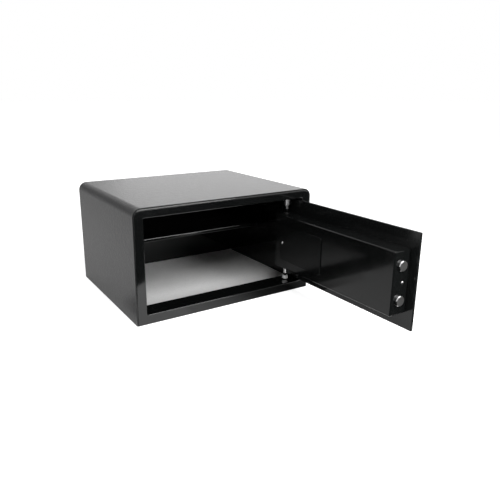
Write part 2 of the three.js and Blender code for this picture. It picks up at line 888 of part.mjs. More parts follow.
// A cylindrical cell with its raised button, turned end for end from its neighbour
function cell(index) {
  const half = cellLength / 2;
  const profile = [
    [0, -half],
    [cellRadius - cellEdgeRadius, -half],
    [cellRadius, -half + cellEdgeRadius],
    [cellRadius, half - cellEdgeRadius],
    [cellRadius - cellEdgeRadius, half],
    [cellButtonRadius, half],
    [cellButtonRadius, half + cellButtonHeight],
    [0, half + cellButtonHeight],
  ];
  const geometry = turned(profile, turnSteps / 2).translate(0, 0, -cellButtonHeight / 2);
  geometry.rotateY(index % 2 === 0 ? Math.PI / 2 : -Math.PI / 2);
  const y = trayInnerY + seatGap + cellRadius;
  const z = trayInnerBottom + (index + 1 / 2) * cellPitch;
  return geometry.translate((cellBayStart + cellBayEnd) / 2, y, z);
}

function circuitBoard() {
  const board = block(
    [boardX - boardWidth / 2, boardSeatY, openingMiddle - boardHeight / 2],
    [boardX + boardWidth / 2, boardSeatY + boardThickness, openingMiddle + boardHeight / 2],
  );
  const top = boardSeatY + boardThickness;
  const chips = chipShares.map(([across, up, width, height]) => {
    const x = boardX + across * boardWidth;
    const z = openingMiddle + up * boardHeight;
    const halfWidth = (width * boardWidth) / 2;
    const halfHeight = (height * boardHeight) / 2;
    return block(
      [x - halfWidth, boardSeatY + boardThickness / 2, z - halfHeight],
      [x + halfWidth, top + chipHeight, z + halfHeight],
    );
  });
  return join(board, ...chips);
}

// Chassis: a folded plate with an end flange and a welded guide, both bored for the bolts
function lockChassis() {
  const motorEnd = pinionX + gearboxWidth / 2 + motorNeckLength + motorLength + chassisMotorReach;
  const flangeY = doorSeatY + chassisFlange;
  const path = [[motorEnd, doorSeatY], [chassisFreeX, doorSeatY], [chassisFreeX, flangeY]];
  const section = foldedSheet(path, chassisWall, chassisInnerRadius);
  const bottom = openingMiddle - chassisHeight / 2;
  const top = openingMiddle + chassisHeight / 2;
  const tray = plate(section, chassisHeight).translate(0, 0, bottom);
  const guideX = chassisFreeX + guideInset;
  const guide = block(
    [guideX, doorSeatY + chassisWall / 2, bottom],
    [guideX + chassisWall, flangeY, top],
  );
  const boltHoles = boltHeights.map((z) =>
    rod(
      boltRadius + slidingGap,
      [chassisFreeX - overrun, boltY, z],
      [guideX + chassisWall + overrun, boltY, z],
      fineTurnSteps,
    ),
  );
  const screwHole = rod(
    screwShankRadius + runningGap,
    [chassisFreeX - overrun, 0, openingMiddle],
    [chassisFreeX + chassisWall + overrun, 0, openingMiddle],
  );
  const through = (radius, x, z) =>
    rod(radius, [x, doorSeatY - overrun, z], [x, chassisTopY + overrun, z]);
  const keyHole = through(barrelRadius + slidingGap, keyLockX, keyLockZ);
  return cut(join(tray, guide), ...boltHoles, screwHole, keyHole);
}

// Bolts
function lockingBolt(z) {
  const bolt = turned(
    [
      [0, 0],
      [boltRadius - boltChamfer, 0],
      [boltRadius, boltChamfer],
      [boltRadius, boltLength],
      [boltSpigotRadius, boltLength],
      [boltSpigotRadius, boltLength + boltSpigotLength],
      [0, boltLength + boltSpigotLength],
    ],
    fineTurnSteps,
  );
  return bolt.rotateY(Math.PI / 2).translate(boltTipX, boltY, z);
}

// The rack's outline in X and Z: straight flanks on a flat back, with a gap under the pinion's axis
function rackOutline() {
  const pitch = Math.PI * gearModule;
  const slope = Math.tan(pressureAngle);
  const tipZ = pitchLineZ + gearModule;
  const rootZ = pitchLineZ - gearModule - toothRootClearance;
  const halfAtPitch = pitch / 4 - rackBacklash / 4;
  const halfTip = halfAtPitch - gearModule * slope;
  const halfRoot = halfAtPitch + (pitchLineZ - rootZ) * slope;
  const start = barBackX - barThickness / 2;
  const after = Math.ceil((boltThrow + rackEndMargin) / pitch);
  const outline = new THREE.Shape();
  outline.moveTo(start, rootZ);
  for (let tooth = -rackTeethBefore; tooth < after; tooth += 1) {
    const x = pinionX + (tooth + 1 / 2) * pitch;
    outline.lineTo(x - halfRoot, rootZ);
    outline.lineTo(x - halfTip, tipZ);
    outline.lineTo(x + halfTip, tipZ);
    outline.lineTo(x + halfRoot, rootZ);
  }
  const end = pinionX + after * pitch + gearModule;
  outline.lineTo(end, rootZ);
  outline.lineTo(end, rootZ - armHeight);
  outline.lineTo(start, rootZ - armHeight);
  outline.closePath();
  return outline;
}

// The bar joins both bolts, and carries the rack and the arm that the key's cam pulls.
function boltBar() {
  const reach = boltSpacing / 2 + barOverlap;
  const bar = block(
    [barX, boltY - barWidth / 2, openingMiddle - reach],
    [barBackX, boltY + barWidth / 2, openingMiddle + reach],
  );
  const rack = upright(plate(rackOutline(), armWidth), armY + armWidth / 2);
  const armEnd = camPinX + camPinRadius + seatGap;
  const arm = block(
    [barBackX - barThickness / 2, armFrontY, camPinZ - armHeight / 2],
    [armEnd, armY + armWidth / 2, camPinZ + armHeight / 2],
  );
  const camPin = rod(
    camPinRadius,
    [camPinX, camFrontY, camPinZ],
    [camPinX, armY, camPinZ],
    turnSteps / 2,
  );
  const holes = boltHeights.map((z) =>
    rod(boltSpigotRadius + runningGap, [barX - overrun, boltY, z], [barBackX + overrun, boltY, z]),
  );
  return cut(join(bar, rack, arm, camPin), ...holes);
}

// An involute pinion whose lowest tooth stands in the rack's gap, with the shaft that turns in the gearbox
function drivePinion() {
  const baseRadius = pitchRadius * Math.cos(pressureAngle);
  const tipRadius = pitchRadius + gearModule;
  const rootRadius = pitchRadius - gearModule - toothRootClearance;
  const involute = (angle) => Math.tan(angle) - angle;
  const halfAtPitch = Math.PI / (2 * pinionTeeth) - rackBacklash / (4 * pitchRadius);
  const halfTooth = halfAtPitch + involute(pressureAngle);
  const points = [];
  const put = (radius, angle) =>
    points.push(new THREE.Vector2(radius * Math.cos(angle), radius * Math.sin(angle)));
  for (let tooth = 0; tooth < pinionTeeth; tooth += 1) {
    const middle = (2 * Math.PI * tooth) / pinionTeeth - Math.PI / 2;
    for (const side of [-1, 1]) {
      const flank = [[rootRadius, halfTooth]];
      for (let step = 0; step <= flankSteps; step += 1) {
        const radius = baseRadius + ((tipRadius - baseRadius) * step) / flankSteps;
        flank.push([radius, halfTooth - involute(Math.acos(baseRadius / radius))]);
      }
      if (side > 0) flank.reverse();
      flank.forEach(([radius, half]) => put(radius, middle + side * half));
    }
  }
  const gear = upright(plate(new THREE.Shape(points), pinionThickness), armY + pinionThickness / 2);
  const shaft = rod(
    pinionShaftRadius,
    [0, gearboxBackY - pinionShaftSeat + seatGap, 0],
    [0, armY + pinionThickness / 2 + seatGap, 0],
  );
  return join(gear, shaft).translate(pinionX, 0, pinionZ);
}

// Gearbox with a blind bore for the pinion's shaft, and the motor beside it
function gearbox() {
  const body = softBlock(
    gearboxWidth,
    gearboxHeight,
    gearboxDepth,
    gearboxCornerRadius,
    gearboxEdgeRadius,
    lensSteps,
  );
  towardsBack(body, chassisTopY + seatGap).translate(pinionX, 0, pinionZ);
  const bore = rod(
    pinionShaftRadius + runningGap,
    [pinionX, gearboxBackY - pinionShaftSeat, pinionZ],
    [pinionX, gearboxBackY + overrun, pinionZ],
  );
  return cut(body, bore);
}

function motor() {
  const can = turned([
    [0, 0],
    [motorNeckRadius, 0],
    [motorNeckRadius, motorNeckLength],
    [motorRadius - gearboxEdgeRadius, motorNeckLength],
    [motorRadius, motorNeckLength + gearboxEdgeRadius],
    [motorRadius, motorNeckLength + motorLength],
    [0, motorNeckLength + motorLength],
  ]);
  const start = pinionX + gearboxWidth / 2 + seatGap;
  return can.rotateY(Math.PI / 2).translate(start, motorY, pinionZ);
}

// Emergency key lock, turned pieces standing along the door's thickness
const keyPlace = (geometry) => towardsBack(geometry, 0).translate(keyLockX, 0, keyLockZ);

function keyBarrel() {
  const flangeBack = plateFrontY - seatGap;
  const flangeFront = flangeBack - barrelFlangeThickness;
  const bore = plugRadius + runningGap;
  return keyPlace(
    turned([
      [bore, flangeFront],
      [barrelFlangeRadius - bushChamfer, flangeFront],
      [barrelFlangeRadius, flangeFront + bushChamfer],
      [barrelFlangeRadius, flangeBack],
      [barrelRadius, flangeBack],
      [barrelRadius, barrelBackY],
      [bore, barrelBackY],
      [bore, flangeFront],
    ]),
  );
}

function barrelNut() {
  const outline = circle(0, 0, barrelNutRadius, barrelNutCorners);
  outline.holes.push(circle(0, 0, barrelRadius + seatGap));
  const nut = plate(outline, barrelNutThickness, 0, turnSteps / 2);
  return keyPlace(nut.translate(0, 0, chassisTopY + seatGap));
}

function keyPlug() {
  const front = plateFrontY - seatGap - barrelFlangeThickness;
  const shoulder = camFrontY - seatGap;
  const body = keyPlace(
    turned([
      [0, front],
      [plugRadius, front],
      [plugRadius, shoulder],
      [plugTailRadius, shoulder],
      [plugTailRadius, shoulder + plugTailLength],
      [0, shoulder + plugTailLength],
    ]),
  );
  const keyway = block(
    [keyLockX - keywayWidth / 2, front - overrun, keyLockZ - keywayHeight / 2],
    [keyLockX + keywayWidth / 2, front + keywayDepth, keyLockZ + keywayHeight / 2],
  );
  return cut(body, keyway);
}

// The cam's finger rests at half past seven, seen from the door's front, and swings to half past four.
function keyCam() {
  const reach = camTravel * Math.SQRT2 + camTipMargin;
  const tipRadius = (camWidth - camTipFlat) / 2;
  const finger = roundedRectangle(reach + camWidth / 2, camWidth, tipRadius, lensSteps);
  const hub = plate(circle(0, 0, camHubRadius, turnSteps / 2), camThickness);
  const tongue = plate(finger, camThickness).translate(reach / 2 - camWidth / 4, 0, 0);
  tongue.rotateZ((-3 * Math.PI) / 4);
  const hole = rod(plugTailRadius + runningGap, [0, 0, -overrun], [0, 0, camThickness + overrun]);
  const cam = cut(join(hub, tongue), hole);
  return upright(cam, camFrontY + camThickness).translate(keyLockX, 0, keyLockZ);
}

// Keypad
const keyX = (column) => keypadMiddleX + (column - (keyColumns - 1) / 2) * keyPitchAcross;
const keyZ = (row) => keypadBottom + keyFieldRise + keyHeight / 2 + (keyRows - 1 - row) * keyPitchUp;

function keyPlaces() {
  const places = [];
  for (let row = 0; row < keyRows; row += 1) {
    for (let column = 0; column < keyColumns; column += 1) places.push([keyX(column), keyZ(row)]);
  }
  return places;
}

function keypadHousing() {
  const outer = softBlock(keypadWidth, keypadHeight, keypadDepth, keypadCornerRadius, keypadEdgeRadius);
  const inner = softBlock(
    keypadWidth - 2 * keypadWall,
    keypadHeight - 2 * keypadWall,
    keypadDepth - keypadWall + overrun,
    keypadCornerRadius - keypadWall,
    keypadEdgeRadius / 2,
  ).translate(0, 0, -overrun);
  const place = (geometry) => towardsFront(geometry, keypadBackY).translate(keypadMiddleX, 0, openingMiddle);
  const window = (width, height, radius, x, z) => {
    const depth = keypadWall + 2 * overrun;
    const cutter = plate(roundedRectangle(width, height, radius, lensSteps), depth);
    return towardsFront(cutter, keypadInnerY + overrun).translate(x, 0, z);
  };
  const keyWindows = keyPlaces().map(([x, z]) =>
    window(keyWidth + 2 * slidingGap, keyHeight + 2 * slidingGap, keyCornerRadius + slidingGap, x, z),
  );
  const display = window(displayWidth, displayHeight, keyCornerRadius, keypadMiddleX, displayZ);
  return cut(place(outer), place(inner), display, ...keyWindows);
}

// A switch stands under each key.
function keypadBoard() {
  const margin = keypadWall + seatGap;
  const outline = roundedRectangle(
    keypadWidth - 2 * margin,
    keypadHeight - 2 * margin,
    keypadCornerRadius - margin,
  );
  const board = plate(outline, boardThickness);
  towardsFront(board, boardBackY).translate(keypadMiddleX, 0, openingMiddle);
  const switchTop = keyBackY + keyTravel + switchGap;
  const switches = keyPlaces().map(([x, z]) =>
    rod(switchRadius, [x, boardBackY - boardThickness / 2, z], [x, switchTop, z], switchSteps),
  );
  return join(board, ...switches);
}

// The lens fills its window and is held by a flange behind the housing's face.
function displayLens() {
  const gap = 2 * seatGap;
  const face = softBlock(
    displayWidth - gap,
    displayHeight - gap,
    keypadWall + seatGap - displayLensRecess + keyFlangeThickness,
    keyCornerRadius - seatGap,
    displayLensRecess,
    lensSteps,
  );
  const reach = displayWidth / 2 + keyFlange;
  const rise = displayHeight / 2 + keyFlange;
  const flange = plate(rectangle(-reach, -rise, reach, rise), keyFlangeThickness);
  const lens = join(face, flange);
  return towardsFront(lens, keyBackY).translate(keypadMiddleX, 0, displayZ);
}

function keyCap(x, z) {
  const cap = softBlock(
    keyWidth,
    keyHeight,
    keyFlangeThickness + seatGap + keypadWall + keyProud,
    keyCornerRadius,
    keyEdgeRadius,
    lensSteps,
  );
  const reach = keyWidth / 2 + keyFlange;
  const rise = keyHeight / 2 + keyFlange;
  const flange = plate(rectangle(-reach, -rise, reach, rise), keyFlangeThickness);
  return towardsFront(join(cap, flange), keyBackY).translate(x, 0, z);
}

// Assembly
const safe = new THREE.Group();

function addCabinet() {
  const plug = (name, geometry) => piece(name, geometry, nylon);
  const atHinge = (mesh) => {
    mesh.position.set(hingeX, hingeY, 0);
    return mesh;
  };
  safe.add(piece("body_shell", bodyShell(), blackTexture));
  safe.add(piece("base_panel", basePanel(), blackTexture));
  safe.add(piece("back_panel", backPanel(), blackTexture));
  safe.add(piece("front_frame", frontFrame(), blackGloss));
  safe.add(piece("strike_jamb", strikeJamb(), blackGloss));
  safe.add(piece("floor_mat", floorMat(), grayFelt));
  safe.add(piece("shelf", shelf(), blackGloss));
  safe.add(piece("shelf_rail_left", shelfRail(-1), blackGloss));
  safe.add(piece("shelf_rail_right", shelfRail(1), blackGloss));
  safe.add(atHinge(piece("upper_hinge_bush", upperBush(), chrome)));
  safe.add(atHinge(piece("lower_hinge_bush", lowerBush(), chrome)));
  for (const [end, side] of [["left", -1], ["right", 1]]) {
    const base = plug("base_anchor_plug_" + end, anchorPlug(baseWall));
    base.position.set(side * baseAnchorX, 0, baseWall / 2);
    const back = plug("back_anchor_plug_" + end, anchorPlug(backWall).rotateX(Math.PI / 2));
    back.position.set(side * backAnchorX, backY - backWall / 2, backAnchorHeight);
    safe.add(base, back);
  }
}

function addDoor() {
  const door = new THREE.Group();
  door.position.set(hingeX, hingeY, 0);
  door.rotation.z = Math.PI / 2;
  door.add(piece("door_plate", doorPlate(), blackGloss));
  door.add(piece("hinge_bracket", hingeBracket(), zincSteel));
  door.add(piece("upper_hinge_pin", hingePin(1), chrome));
  door.add(piece("lower_hinge_pin", hingePin(-1), chrome));
  door.add(piece("upper_pin_washer", pinWasher(1), chrome));
  door.add(piece("lower_pin_washer", pinWasher(-1), chrome));
  door.add(piece("lock_box", lockBox(), blackGloss));
  door.add(piece("box_end_screw", endScrew(), chrome));
  door.add(piece("battery_cover", batteryCover(), blackPlastic));
  door.add(piece("battery_cover_screw", coverScrew(), chrome));
  door.add(piece("battery_tray", batteryTray(), blackPlastic));
  for (let i = 0; i < cellCount; i += 1) door.add(piece("battery_" + (i + 1), cell(i), cellWrap));
  door.add(piece("circuit_board", circuitBoard(), boardGreen));
  door.add(piece("lock_chassis", lockChassis(), zincSteel));
  door.add(piece("bolt_bar", boltBar(), zincSteel));
  door.add(piece("upper_bolt", lockingBolt(boltHeights[0]), chrome));
  door.add(piece("lower_bolt", lockingBolt(boltHeights[1]), chrome));
  door.add(piece("drive_pinion", drivePinion(), zincSteel));
  door.add(piece("gearbox", gearbox(), blackPlastic));
  door.add(piece("motor", motor(), zincSteel));
  door.add(piece("key_barrel", keyBarrel(), chrome));
  door.add(piece("barrel_nut", barrelNut(), zincSteel));
  door.add(piece("key_plug", keyPlug(), chrome));
  door.add(piece("key_cam", keyCam(), zincSteel));
  door.add(piece("keypad_housing", keypadHousing(), blackPlastic));
  door.add(piece("keypad_board", keypadBoard(), boardGreen));
  door.add(piece("display_lens", displayLens(), lensPlastic));
  keyPlaces().forEach(([x, z], i) => {
    door.add(piece("key_" + (i + 1), keyCap(x, z), keyPlastic));
  });
  safe.add(door);
}

addCabinet();
addDoor();

export default safe;
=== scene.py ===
"""Looks of a front-opening electronic safe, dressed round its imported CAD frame.

Lengths are in metres along the frame's axes, colours are linear, and a texture's scale is per metre.
"""

import json
import math

import bmesh
import bpy
import numpy as np
from mathutils import Matrix, Vector


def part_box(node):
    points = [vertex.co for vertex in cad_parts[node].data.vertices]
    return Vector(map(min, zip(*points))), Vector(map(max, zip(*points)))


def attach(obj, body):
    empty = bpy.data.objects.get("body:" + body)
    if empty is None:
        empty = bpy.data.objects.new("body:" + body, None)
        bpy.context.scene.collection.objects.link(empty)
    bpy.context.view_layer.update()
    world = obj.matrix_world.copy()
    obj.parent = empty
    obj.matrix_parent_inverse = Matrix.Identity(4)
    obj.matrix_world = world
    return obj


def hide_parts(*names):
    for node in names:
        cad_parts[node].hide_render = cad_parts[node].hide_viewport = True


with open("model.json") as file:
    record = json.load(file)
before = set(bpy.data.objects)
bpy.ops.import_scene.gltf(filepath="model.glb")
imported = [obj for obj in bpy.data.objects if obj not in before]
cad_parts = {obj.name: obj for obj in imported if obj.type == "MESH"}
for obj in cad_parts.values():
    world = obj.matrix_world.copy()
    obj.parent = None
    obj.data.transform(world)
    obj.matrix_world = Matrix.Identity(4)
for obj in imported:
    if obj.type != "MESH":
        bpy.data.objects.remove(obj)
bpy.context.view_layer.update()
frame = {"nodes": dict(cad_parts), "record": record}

MM = 0.001

# Camera

CAMERA_PLACE = (-0.5805, -1.1210, 0.4698)
CAMERA_RIGHT = Vector((0.8467, -0.5320, 0.0040))
CAMERA_UP = Vector((0.1430, 0.2349, 0.9615))
FOCAL_PX = 518.8
FRAME_PX = 500
PRINCIPAL_PX = (234.8, 240.3)
SENSOR_MM = 36.0
CLIP_NEAR = 0.01
CLIP_FAR = 50


def link_object(name, data):
    """A new object of the scene."""
    obj = bpy.data.objects.new(name, data)
    bpy.context.scene.collection.objects.link(obj)
    return obj


def add_camera():
    right = CAMERA_RIGHT.normalized()
    back = right.cross(CAMERA_UP).normalized()
    up = back.cross(right)
    data = bpy.data.cameras.new("camera")
    data.sensor_width = SENSOR_MM
    data.lens = FOCAL_PX / FRAME_PX * SENSOR_MM
    data.shift_x = (FRAME_PX / 2 - PRINCIPAL_PX[0]) / FRAME_PX
    data.shift_y = (PRINCIPAL_PX[1] - FRAME_PX / 2) / FRAME_PX
    data.clip_start = CLIP_NEAR
    data.clip_end = CLIP_FAR
    camera = link_object("camera", data)
    turn = Matrix((right, up, back)).transposed().to_4x4()
    camera.matrix_world = Matrix.Translation(CAMERA_PLACE) @ turn
    bpy.context.scene.camera = camera


# Shader nodes

NOISE_LOW = 0.3
NOISE_HIGH = 0.7
BEVEL_SAMPLES = 6
SPRAY_WAVES = 16
SPRAY_WAVE_DEPTH = 0.03 * MM


class Shader:
    """A Principled material, kept by its name, with textures laid out in the piece's own metres."""

    made = {}

    def __init__(self, name, color, roughness, metallic=0.0, **sockets):
        material = bpy.data.materials.new(name)
        material.use_nodes = True
        self.made[name] = material
        self.tree = material.node_tree
        self.surface = self.tree.nodes["Principled BSDF"]
        self.fill(self.surface, Base_Color=color, Roughness=roughness, Metallic=metallic, **sockets)
        self.texture = self.add("ShaderNodeTexCoord")
        self.place = self.texture.outputs["Object"]
        self.normal = None

    def add(self, kind, **settings):
        node = self.tree.nodes.new(kind)
        for key, value in settings.items():
            setattr(node, key, value)
        return node

    def feed(self, socket, value):
        """Links a node's output to the socket, or gives it a fixed value."""
        if isinstance(value, bpy.types.NodeSocket):
            self.tree.links.new(value, socket)
        elif socket.type == "RGBA":
            socket.default_value = (*value, 1.0)
        else:
            socket.default_value = value

    def fill(self, node, **values):
        """Feeds inputs by name, where a low line stands for a space."""
        for name, value in values.items():
            self.feed(node.inputs[name.replace("_", " ")], value)
        return node

    def noise(self, scale, detail=2.0, rough=0.5, stretch=None, distortion=0.0):
        vector = self.place
        if stretch:
            mapping = self.fill(self.add("ShaderNodeMapping"), Vector=vector, Scale=stretch)
            vector = mapping.outputs["Vector"]
        node = self.fill(self.add("ShaderNodeTexNoise"), Vector=vector, Scale=scale, Detail=detail)
        self.fill(node, Roughness=rough, Distortion=distortion)
        return node.outputs["Fac"]

    def cells(self, scale):
        node = self.fill(self.add("ShaderNodeTexVoronoi"), Vector=self.place, Scale=scale)
        return node.outputs["Distance"]

    def span(self, value, low, high, to_low=0.0, to_high=1.0):
        """Carries a value from one range to another, and keeps it inside."""
        node = self.fill(self.add("ShaderNodeMapRange"), Value=value, From_Min=low, From_Max=high)
        self.fill(node, To_Min=to_low, To_Max=to_high)
        return node.outputs["Result"]

    def wander(self, noise, low=0.0, high=1.0):
        """Spreads a noise over a range."""
        return self.span(noise, NOISE_LOW, NOISE_HIGH, low, high)

    def switch(self, mask, off, on):
        """The first value where the mask is nought, the second where it is one."""
        return self.span(mask, 0, 1, off, on)

    def mix(self, share, first, second):
        node = self.add("ShaderNodeMix", data_type="RGBA")
        self.feed(node.inputs["Factor"], share)
        colors = [socket for socket in node.inputs if socket.type == "RGBA"]
        self.feed(colors[0], first)
        self.feed(colors[1], second)
        return next(socket for socket in node.outputs if socket.type == "RGBA")

    def math(self, operation, first, second):
        node = self.add("ShaderNodeMath", operation=operation)
        self.feed(node.inputs[0], first)
        self.feed(node.inputs[1], second)
        return node.outputs["Value"]

    def vector_math(self, operation, first, second):
        node = self.add("ShaderNodeVectorMath", operation=operation)
        self.feed(node.inputs[0], first)
        self.feed(node.inputs[1], second)
        return node.outputs

    def axis(self, letter):
        """One of the piece's own coordinates."""
        split = self.fill(self.add("ShaderNodeSeparateXYZ"), Vector=self.place)
        return split.outputs[letter]

    def below(self, letter, level):
        return self.math("LESS_THAN", self.axis(letter), level)

    def above(self, letter, level):
        return self.math("GREATER_THAN", self.axis(letter), level)

    def looks_at(self, point):
        """One on the faces that look towards the given point, nought on the rest."""
        away = self.vector_math("SUBTRACT", self.place, point)["Vector"]
        facing = self.vector_math("DOT_PRODUCT", self.texture.outputs["Normal"], away)["Value"]
        return self.math("LESS_THAN", facing, 0.0)

    def color(self, value):
        self.fill(self.surface, Base_Color=value)

    def roughness(self, value):
        self.fill(self.surface, Roughness=value)

    def mottle(self, pattern, first, second):
        """A colour that varies between two."""
        self.color(self.mix(pattern, first, second))

    def shine(self, noise, low, high):
        """A roughness that varies between two."""
        self.roughness(self.wander(noise, low, high))

    def turn(self, node):
        """Takes the shading normal from a node."""
        self.normal = node.outputs["Normal"]
        self.fill(self.surface, Normal=self.normal)

    def broken_edges(self, radius):
        """Shades sheet edges as slightly rounded; it comes before any bump."""
        self.turn(self.fill(self.add("ShaderNodeBevel", samples=BEVEL_SAMPLES), Radius=radius))

    def bump(self, height, depth):
        """Adds relief of the given depth to the relief so far."""
        node = self.fill(self.add("ShaderNodeBump"), Strength=1.0, Distance=depth, Height=height)
        if self.normal is not None:
            self.fill(node, Normal=self.normal)
        self.turn(node)

    def lacquer(self, low, high, patches=24, grain=260, grain_depth=0.006 * MM):
        """A sprayed gloss: shine that varies in patches, a fine grain, and long slow waves."""
        self.shine(self.noise(patches, detail=3, rough=0.6), low, high)
        self.bump(self.noise(grain, detail=1, rough=0.4), grain_depth)
        self.bump(self.noise(SPRAY_WAVES, detail=1, rough=0.4), SPRAY_WAVE_DEPTH)


# Materials

EDGE = 1.2 * MM
HEAD_ROUND = 5.0 * MM
RIM_SKIN = 0.6 * MM
# Size of the painted highlight band over the fold of the shelf's lip.
FOLD_HEIGHT = 3.0 * MM
FOLD_DEPTH = 0.8 * MM
BOLT_FACE = 0.4 * MM
# Heights of painted shade at the feet of the hinge pins and the lower bush.
UPPER_PIN_SHADE = 18.6 * MM
LOWER_PIN_SHADE = 12.4 * MM
LOWER_BUSH_SHADE = 1.9 * MM
PEEL_DEPTH = 0.45 * MM
COARSE_PEEL_DEPTH = 0.36 * MM
LID_PEEL_DEPTH = 0.8 * MM
FELT_FIBRE_DEPTH = 0.6 * MM
FELT_CLUMP_DEPTH = 0.8 * MM

GLOSS = (0.0032, 0.0036, 0.0036)
SMOOTH_SHEET = (0.006, 0.0065, 0.0065)
FOLD_PAINTED_HIGHLIGHT = (0.30, 0.30, 0.30)
# Painted shade: the near-black tone of those feet.
FOOT_SHADE = (0.01, 0.01, 0.01)
FELT = (0.71, 0.71, 0.705)
SMOKE = (0.006, 0.008, 0.009)
FRAME_SHINE = 0.7
HEAD_SHINE = 1.0
COOL = 1.1
METAL_PATCHES = 90
METAL_POLISH = 240
METAL_GRAIN = 900
STEEL_SPREAD = 0.1
STEEL_ROUGH_SPREAD = 0.05
PLASTIC_SPREAD = 0.12
PLASTIC_SHINIER = 0.05
PLASTIC_DULLER = 0.06


def textured_black():
    """Orange-peel coat outside; inside the walls and on the front rim the sheet is smooth and glossy."""
    s = Shader("textured_black", color=(0.018, 0.018, 0.0185), roughness=0.40, Specular_IOR_Level=0.5)
    shell_low, shell_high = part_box("body_shell")
    walls = s.looks_at((shell_low + shell_high) / 2)
    inner = s.math("MAXIMUM", walls, s.below("Y", shell_low.y + RIM_SKIN))
    outer = s.math("SUBTRACT", 1.0, inner)
    lid = s.above("Z", shell_high.z - EDGE)
    coat = s.mix(s.noise(scale=70, detail=3), (0.015, 0.015, 0.0155), (0.021, 0.021, 0.0215))
    s.mottle(inner, coat, SMOOTH_SHEET)
    s.broken_edges(EDGE)
    satin = s.wander(s.noise(scale=500), low=0.36, high=0.46)
    s.roughness(s.switch(inner, satin, 0.10))
    s.bump(s.math("MULTIPLY", outer, s.noise(scale=340, detail=1, rough=0.4)), PEEL_DEPTH)
    s.bump(s.math("MULTIPLY", outer, s.noise(scale=190, detail=1)), COARSE_PEEL_DEPTH)
    s.bump(s.math("MULTIPLY", lid, s.noise(scale=150, rough=0.6)), LID_PEEL_DEPTH)


def gloss_black():
    s = Shader("gloss_black", color=GLOSS, roughness=0.07, Specular_IOR_Level=FRAME_SHINE)
    s.broken_edges(EDGE)
    s.lacquer(low=0.05, high=0.10)


def frame_black():
    """The frame's gloss, with a wider and brighter round along the outer edge of its head."""
    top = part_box("front_frame")[1].z
    start = top - HEAD_ROUND
    s = Shader("frame_black", color=GLOSS, roughness=0.07)
    s.broken_edges(s.switch(s.above("Z", start), EDGE, HEAD_ROUND))
    s.fill(s.surface, Specular_IOR_Level=s.span(s.axis("Z"), start, top, FRAME_SHINE, HEAD_SHINE))
    s.lacquer(low=0.05, high=0.10)


def shelf_black():
    """A thinner gloss, with a painted highlight along the fold of the shelf's lip: a pale metal band."""
    s = Shader("shelf_black", color=GLOSS, roughness=0.09, Specular_IOR_Level=0.25)
    low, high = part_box("shelf")
    fold = s.math("MULTIPLY", s.below("Y", low.y + FOLD_DEPTH), s.above("Z", high.z - FOLD_HEIGHT))
    # Painted highlight: over the fold the coat turns pale and metallic, standing in for the light the
    # fold catches.
    s.mottle(fold, GLOSS, FOLD_PAINTED_HIGHLIGHT)
    s.fill(s.surface, Metallic=fold)
    s.lacquer(low=0.07, high=0.12)


def door_black(name, tone, specular):
    """A flatter coat than the frame's, for the door's plate and its lock box; the plate's copy has the
    lighter tone, as painted light.
    """
    s = Shader(name, color=(tone, tone * COOL, tone * COOL), roughness=0.10, Specular_IOR_Level=specular)
    s.broken_edges(EDGE)
    s.lacquer(low=0.08, high=0.13)


def cover_black():
    s = Shader("cover_black", color=(0.0055, 0.006, 0.006), roughness=0.12, Specular_IOR_Level=0.13)
    s.lacquer(low=0.10, high=0.16, patches=30, grain=300, grain_depth=0.008 * MM)


def felt_gray():
    """Pressed felt: fine fibres over broader clumps, each with its own tones."""
    s = Shader("felt_gray", color=FELT, roughness=0.95, Sheen_Weight=0.2, Sheen_Roughness=0.5)
    fibres = s.noise(scale=1500, detail=3, rough=0.7, stretch=(1, 1, 0.4), distortion=1.5)
    clumps = s.noise(scale=160, detail=4, rough=0.65)
    fine = s.mix(s.wander(fibres), (0.56, 0.56, 0.56), (0.86, 0.86, 0.855))
    broad = s.mix(s.wander(clumps), (0.65, 0.65, 0.65), (0.77, 0.77, 0.765))
    s.mottle(0.5, fine, broad)
    s.bump(fibres, FELT_FIBRE_DEPTH)
    s.bump(clumps, FELT_CLUMP_DEPTH)


def chrome():
    s = Shader("chrome", color=(0.80, 0.80, 0.80), roughness=0.24, metallic=1.0)
    s.mottle(s.noise(METAL_PATCHES, detail=3), (0.76, 0.76, 0.76), (0.84, 0.84, 0.84))
    s.shine(s.noise(METAL_POLISH, detail=3, rough=0.6), low=0.18, high=0.30)
    s.bump(s.noise(METAL_GRAIN), depth=0.004 * MM)


def bolt_chrome():
    """Chrome with a turned, unplated end."""
    s = Shader("bolt_chrome", color=(0.80, 0.80, 0.80), roughness=0.20, metallic=1.0)
    face = s.below("Y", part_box("upper_bolt")[0].y + BOLT_FACE)
    plated = s.mix(s.noise(METAL_PATCHES, detail=3), (0.54, 0.54, 0.54), (0.64, 0.64, 0.64))
    turned = s.mix(s.noise(scale=1500, detail=3, rough=0.7), (0.17, 0.17, 0.17), (0.34, 0.34, 0.335))
    s.mottle(face, plated, turned)
    polish = s.wander(s.noise(METAL_POLISH, detail=3, rough=0.6), low=0.14, high=0.24)
    s.roughness(s.switch(face, polish, 0.55))
    s.bump(s.math("MULTIPLY", face, s.noise(scale=1800)), depth=0.03 * MM)
    s.bump(s.noise(METAL_GRAIN), depth=0.004 * MM)


def plain_steel(name, tone, rough, node=None, shade_height=0.0):
    """Steel of the hinges and the key lock; a painted shade turns the named node's foot near black up to
    a height.
    """
    s = Shader(name, color=(tone, tone, tone), roughness=rough, metallic=1.0)
    darker = (tone * (1 - STEEL_SPREAD),) * 3
    lighter = (tone * (1 + STEEL_SPREAD),) * 3
    steel = s.mix(s.noise(METAL_PATCHES, detail=3), darker, lighter)
    if node:
        # Painted shade: below the height the steel goes near black, standing in for the shade where the
        # part meets its neighbours.
        steel = s.mix(s.below("Z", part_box(node)[0].z + shade_height), steel, FOOT_SHADE)
    s.color(steel)
    polish = s.noise(METAL_POLISH, detail=3, rough=0.6)
    s.shine(polish, rough - STEEL_ROUGH_SPREAD, rough + STEEL_ROUGH_SPREAD)
    s.bump(s.noise(METAL_GRAIN), depth=0.006 * MM)


